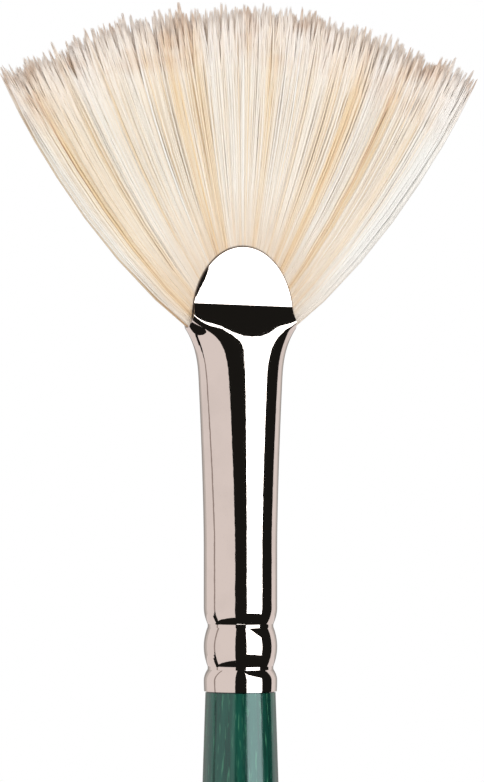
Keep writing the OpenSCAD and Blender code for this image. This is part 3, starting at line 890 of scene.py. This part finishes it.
def mark_bristles(mesh, tone, way):
    """Stores each bristle's tone, and how far along it a point lies, on its mesh."""
    per_bristle = len(mesh.vertices) // len(tone)
    sides = per_bristle // POINTS
    for name, values in (("tone", np.repeat(tone, per_bristle)),
                         ("way", np.repeat(way.reshape(-1), sides))):
        layer = mesh.attributes.new(name, "FLOAT", "POINT")
        layer.data.foreach_set("value", values.astype(np.float32))


def close_ends(mesh):
    """Fills the open ends of the tubes and turns all faces outwards."""
    bm = bmesh.new()
    bm.from_mesh(mesh)
    bmesh.ops.holes_fill(bm, edges=[e for e in bm.edges if e.is_boundary], sides=HAIR_SIDES)
    bmesh.ops.recalc_face_normals(bm, faces=bm.faces[:])
    bm.to_mesh(mesh)
    bm.free()


class OBJECT_OT_brush_bristles(bpy.types.Operator):
    """Adds the bristles, in three layers of thin tapered hairs gathered into tips"""
    bl_idname = "object.brush_bristles"
    bl_label = "Bristles"

    def execute(self, context):
        settings = context.scene.brush_bristles
        material = bristle_material("Hog bristle", settings)
        for layer, side in enumerate(LAYERS):
            paths, radii, tone, way = bristle_layer(layer, settings)
            mesh = tube_mesh("hairs_" + side, paths, radii)
            mark_bristles(mesh, tone, way)
            close_ends(mesh)
            mesh.shade_smooth()
            piece = bpy.data.objects.new("hairs_" + side, mesh)
            finish_piece(piece, "bristle", material, "bristles_" + side)
        return {"FINISHED"}


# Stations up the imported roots: height, half width, half depth, and how square the outline is
ROOT_STATIONS = (
    (RESIN_TOP, BOUND_R, BOUND_R, 2), (BINDING_TOP, BOUND_R, BOUND_R, 2), (25.1, 3.7, 3.15, 2),
    (32.7, 4.0, 2.9, 2), (35.0, 4.2, 2.8, 2), (36.2, 4.3, 2.5, 2), (37.4, 4.3, 1.5, 3))


def root_ring(sides, z, a, b, power):
    """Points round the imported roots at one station, in metres."""
    points = []
    for turn in (2 * math.pi * i / sides for i in range(sides)):
        c, s = math.cos(turn), math.sin(turn)
        points.append((a * math.copysign(abs(c) ** (2 / power), c) * MM,
                       b * math.copysign(abs(s) ** (2 / power), s) * MM, HANDLE_LEN + z * MM))
    return points


def roots_material(settings):
    material, tree, shader, coords = new_material("Packed bristle roots")
    grain = grain_of(tree, coords, 7000.0, 120.0, 3.0)
    dark = [0.55 * c for c in settings.straw]
    mask = map_range(tree, grain, 0.35, 0.65)
    fill(shader, Base_Color=mix_colour(tree, mask, dark, settings.straw), Roughness=0.6)
    add_bump(shader, grain, 0.8, 0.00008)
    return material


class OBJECT_OT_brush_roots(bpy.types.Operator):
    """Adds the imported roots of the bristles, from the resin up into the nose"""
    bl_idname = "object.brush_roots"
    bl_label = "Bristle roots"

    def execute(self, context):
        settings = context.scene.brush_bristles
        sides = 48
        bm = bmesh.new()
        rings = [root_ring(sides, *station) for station in ROOT_STATIONS]
        _, top_edges = loft(bm, sides, rings, closed_foot=True)
        bmesh.ops.contextual_create(bm, geom=top_edges)
        bmesh.ops.recalc_face_normals(bm, faces=bm.faces[:])
        piece = piece_from(bm, "bristle_roots")
        finish_piece(piece, "bristle", roots_material(settings))
        return {"FINISHED"}


# ---------------------------------------------------------------- inside the ferrule

def cast_material(name, scale, dark, light, roughness, coat, bump):
    """A hardened liquid: one mottled colour with soft unevenness."""
    material, tree, shader, coords = new_material(name)
    noise = noise_of(tree, coords, scale)
    fill(shader, Base_Color=mix_colour(tree, noise, dark, light), Roughness=roughness,
         Coat_Weight=coat)
    add_bump(shader, noise, bump, 0.0001)
    return material


def thread_material():
    material, tree, shader, coords = new_material("Waxed thread")
    wave = add_node(tree, "TexWave", Vector=coords, Scale=2600.0, Distortion=1.5,
                    bands_direction="DIAGONAL").outputs["Fac"]
    fill(shader, Base_Color=mix_colour(tree, wave, (0.55, 0.47, 0.34), (0.80, 0.75, 0.63)),
         Roughness=0.7)
    add_bump(shader, wave, 0.6, 0.00006)
    return material


class OBJECT_OT_brush_inside(bpy.types.Operator):
    """Gives the glue, the resin and the thread inside the ferrule their finish"""
    bl_idname = "object.brush_inside"
    bl_label = "Inside the ferrule"

    def execute(self, context):
        glue = cast_material("Wood glue", 500.0, (0.66, 0.52, 0.27), (0.80, 0.70, 0.46),
                             roughness=0.45, coat=0.0, bump=0.4)
        resin = cast_material("Amber resin", 700.0, (0.30, 0.13, 0.03), (0.55, 0.30, 0.08),
                              roughness=0.28, coat=0.5, bump=0.3)
        finishes = {"tenon_glue": glue, "resin_plug": resin, "root_binding": thread_material()}
        for node, material in finishes.items():
            piece = frame["nodes"][node]
            for index in range(len(piece.material_slots)):
                piece.material_slots[index].material = material
            if not piece.material_slots:
                piece.data.materials.append(material)
        return {"FINISHED"}


# ---------------------------------------------------------------- stage

def emission_material(name, colour):
    material = bpy.data.materials.new(name)
    material.use_nodes = True
    tree = material.node_tree
    tree.nodes.clear()
    glow = add_node(tree, "Emission", Color=colour)
    add_node(tree, "OutputMaterial", Surface=glow.outputs["Emission"])
    return material


def add_card(bm, name, colour):
    """Adds a glowing card to the stage so that only reflections show it."""
    piece = piece_from(bm, name)
    piece.data.materials.append(emission_material(name, colour))
    bpy.context.scene.collection.objects.link(piece)
    piece.visible_camera = False
    piece.visible_diffuse = False
    piece.visible_shadow = False
    piece.visible_transmission = False
    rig.stage(piece)


def card(name, azimuth, start, end, radius, low, high, fall, colour):
    """An upright curved studio card, seen only in reflections. Angles run to the right
    of the camera, in degrees. Its top edge falls towards its end."""
    bm = bmesh.new()
    turn = azimuth + math.radians(start)
    foot = Vector((radius * math.sin(turn), -radius * math.cos(turn), low))
    verts = [bm.verts.new(foot), bm.verts.new(foot + Vector((0, 0, high - low)))]
    edge = bm.edges.new(verts)
    span = math.radians(end - start)
    bmesh.ops.spin(bm, geom=verts + [edge], axis=(0, 0, 1), cent=(0, 0, 0), angle=span,
                   steps=max(2, int(abs(end - start) / 2)))
    for vert in bm.verts:
        if vert.co.z > (low + high) / 2:
            way = (math.atan2(vert.co.x, -vert.co.y) - turn) / span
            vert.co.z -= fall * max(0.0, way) ** 0.5
    add_card(bm, name, colour)


def sector(name, azimuth, start, end, inner, radius, height, colour):
    """A level card in the shape of a piece of a ring, over or under the brush."""
    bm = bmesh.new()
    turn = azimuth + math.radians(start)
    verts = [bm.verts.new((r * math.sin(turn), -r * math.cos(turn), height))
             for r in (inner, radius)]
    edge = bm.edges.new(verts)
    bmesh.ops.spin(bm, geom=verts + [edge], axis=(0, 0, 1), cent=(0, 0, 0),
                   angle=math.radians(end - start), steps=int((end - start) / 4))
    bmesh.ops.remove_doubles(bm, verts=bm.verts[:], dist=1e-6)
    add_card(bm, name, colour)


def seen_directly(tree, otherwise, seen):
    """One value where the camera, a reflection or clear glass sees it, another elsewhere."""
    path = add_node(tree, "LightPath").outputs
    total = path["Is Camera Ray"]
    for label in ("Is Glossy Ray", "Is Transmission Ray"):
        total = add_node(tree, "Math", total, path[label], operation="MAXIMUM").outputs["Value"]
    return map_range(tree, total, 0.0, 1.0, otherwise, seen)


def studio_world(settings):
    """White where it is seen, and an even fill light from all round."""
    world = bpy.data.worlds.new("Studio")
    bpy.context.scene.world = world
    world.use_nodes = True
    tree = world.node_tree
    fill(tree.nodes["Background"], Color=(1, 1, 1),
         Strength=seen_directly(tree, settings.sky, 1.0))


def pale_floor(settings):
    """A wide pale floor that shows white, and lights the brush from below."""
    bm = bmesh.new()
    bmesh.ops.create_circle(bm, cap_ends=True, segments=96, radius=3.4)
    floor = piece_from(bm, "floor", smooth=False)
    material, tree, shader, coords = new_material("Pale floor")
    noise = noise_of(tree, coords, 30.0)
    grey = [0.985 * c for c in settings.floor]
    fill(shader, Base_Color=mix_colour(tree, noise, settings.floor, grey),
         Roughness=0.7, Specular_IOR_Level=0.0,
         Emission_Color=(1, 1, 1), Emission_Strength=seen_directly(tree, 0.0, 0.3))
    floor.data.materials.append(material)
    bpy.context.scene.collection.objects.link(floor)
    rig.stage(floor)


def lamp(name, azimuth, degrees, elevation, distance, width, height, radiance, aim_z):
    """A rectangular light that faces the brush, with the radiance asked for. The cards
    are what reflections show."""
    data = bpy.data.lights.new(name, "AREA")
    data.shape = "RECTANGLE"
    data.size, data.size_y = width, height
    data.energy = radiance * math.pi * width * height
    light = bpy.data.objects.new(name, data)
    turn, rise = azimuth + math.radians(degrees), math.radians(elevation)
    flat = math.cos(rise)
    out = Vector((math.sin(turn) * flat, -math.cos(turn) * flat, math.sin(rise)))
    light.location = out * distance + Vector((0, 0, aim_z))
    light.rotation_euler = out.to_track_quat("Z", "Y").to_euler()
    light.visible_camera = False
    light.visible_glossy = False
    bpy.context.scene.collection.objects.link(light)


# Radiances of the cards
BLACK, GREY = (0.0095, 0.009, 0.008), (0.70, 0.64, 0.63)
DIM, HALF, SEAM = (0.34, 0.32, 0.31), (0.52, 0.48, 0.46), (0.30, 0.25, 0.235)
CARD_R, BEHIND_R, CARD_TOP = 1.5, 1.53, 2.3
SOFTBOX_TOP, SOFTBOX_FALL = 2.2, 1.5
FLOOR_CARD_Z = 0.004
# Upright cards round the brush: name, first and last angle right of the camera, colour.
# No colour stands for the softbox's own brightness.
UPRIGHT = (
    ("camera", -17, 20.5, BLACK), ("softbox", 20.5, 72, None), ("behind", 20.5, 72, BLACK),
    ("right", 72, 116, BLACK), ("side", 116, 140, GREY), ("side_edge", 140, 152, HALF),
    ("back", 152, 214, DIM), ("back_edge", 214, 228, HALF), ("far", 228, 267.5, GREY),
    ("gap", 267.5, 273.5, SEAM), ("left", 273.5, 343, GREY))
# Level cards on the floor: name, first and last angle, inner and outer radius, colour
LEVEL = (
    ("low_camera", -17, 20.5, 0.22, 1.5, BLACK), ("low_box", 20.5, 72, 0.85, 1.5, None),
    ("low_front", 20.5, 72, 0.22, 0.85, BLACK), ("low_right", 72, 116, 0.22, 1.5, BLACK),
    ("low_back", 116, 210, 0.0, 1.5, GREY), ("low_side", -150, -103, 0.43, 1.5, GREY),
    ("low_dark", -103, -92.5, 0.43, 0.8, BLACK), ("low_rim", -103, -97, 0.8, 1.5, GREY),
    ("low_wedge", -97, -92.5, 0.8, 1.05, BLACK), ("low_edge", -97, -92.5, 1.05, 1.5, GREY),
    ("low_gap", -92.5, -87.5, 0.43, 1.5, BLACK), ("low_left", -87.5, -17, 0.43, 1.5, GREY),
    ("low_near", -150, -17, 0.0, 0.43, BLACK))
# Level cards overhead
OVERHEAD = (("high_front", -17, 116, 0.0, 1.54, BLACK), ("high_back", 116, 343, 0.0, 1.5, GREY))


class OBJECT_OT_brush_stage(bpy.types.Operator):
    """Adds the floor, the studio light with its cards, and the camera"""
    bl_idname = "object.brush_stage"
    bl_label = "Stage"

    def execute(self, context):
        settings = context.scene.brush_stage
        azimuth, aim_z = settings.azimuth, settings.aim_z
        studio_world(settings)
        pale_floor(settings)
        glow = (settings.softbox,) * 3
        for name, first, last, colour in UPRIGHT:
            radius = BEHIND_R if name == "behind" else CARD_R
            top, fall = (CARD_TOP, 0.0) if colour else (SOFTBOX_TOP, SOFTBOX_FALL)
            card("card_" + name, azimuth, first, last, radius, 0.0, top, fall, colour or glow)
        for cards, height in ((LEVEL, FLOOR_CARD_Z), (OVERHEAD, CARD_TOP)):
            for name, first, last, inner, radius, colour in cards:
                sector("card_" + name, azimuth, first, last, inner, radius, height,
                       colour or glow)
        lamp("key_light", azimuth, degrees=12, elevation=8, distance=1.2, width=1.0, height=1.0,
             radiance=settings.key, aim_z=aim_z)

        camera_data = bpy.data.cameras.new("Camera")
        camera = bpy.data.objects.new("Camera", camera_data)
        away = Vector((math.sin(azimuth), -math.cos(azimuth), 0))
        right = Vector((math.cos(azimuth), math.sin(azimuth), 0))
        target = right * settings.aim_x + Vector((0, 0, aim_z))
        camera.location = target + away * settings.distance
        camera.rotation_euler = away.to_track_quat("Z", "Y").to_euler()
        camera_data.sensor_fit = "VERTICAL"
        camera_data.sensor_height = 36
        camera_data.lens = camera_data.sensor_height * settings.distance / settings.view_h
        camera_data.clip_start, camera_data.clip_end = 0.01, 100
        context.scene.collection.objects.link(camera)
        context.scene.camera = camera
        context.scene.view_settings.view_transform = "Standard"
        return {"FINISHED"}


# ---------------------------------------------------------------- panel and run

class VIEW3D_PT_fan_brush(bpy.types.Panel):
    bl_idname = "VIEW3D_PT_fan_brush"
    bl_label = "Fan brush"
    bl_space_type = "VIEW_3D"
    bl_region_type = "UI"
    bl_category = "Fan brush"

    def draw(self, context):
        for operator, holder in STEPS:
            box = self.layout.box()
            box.operator(operator)
            group = getattr(context.scene, holder, None) if holder else None
            for name in (group.bl_rna.properties.keys() if group else ()):
                if name not in {"rna_type", "name"}:
                    box.prop(group, name)


STEPS = [("object.brush_handle", "brush_handle"), ("object.brush_ferrule", "brush_ferrule"),
         ("object.brush_bristles", "brush_bristles"), ("object.brush_roots", None),
         ("object.brush_inside", None), ("object.brush_stage", "brush_stage")]
HOLDERS = {"brush_handle": HandleSettings, "brush_ferrule": FerruleSettings,
           "brush_bristles": BristleSettings, "brush_stage": StageSettings}
CLASSES = (HandleSettings, FerruleSettings, BristleSettings, StageSettings,
           OBJECT_OT_brush_handle, OBJECT_OT_brush_ferrule, OBJECT_OT_brush_bristles,
           OBJECT_OT_brush_roots, OBJECT_OT_brush_inside, OBJECT_OT_brush_stage,
           VIEW3D_PT_fan_brush)


def register():
    for cls in CLASSES:
        bpy.utils.register_class(cls)
    for holder, group in HOLDERS.items():
        setattr(bpy.types.Scene, holder, PointerProperty(type=group))


def unregister():
    for holder in HOLDERS:
        delattr(bpy.types.Scene, holder)
    for cls in reversed(CLASSES):
        bpy.utils.unregister_class(cls)


def main():
    register()
    for operator, _ in STEPS:
        group, name = operator.split(".")
        getattr(getattr(bpy.ops, group), name)()
    sizes = {"cad": [list(corner) for corner in CAD_BOX],
             "visual": [list(corner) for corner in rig.bounds()]}
    with open("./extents.json", "w") as out:
        json.dump(sizes, out)


if __name__ == "__main__":
    main()
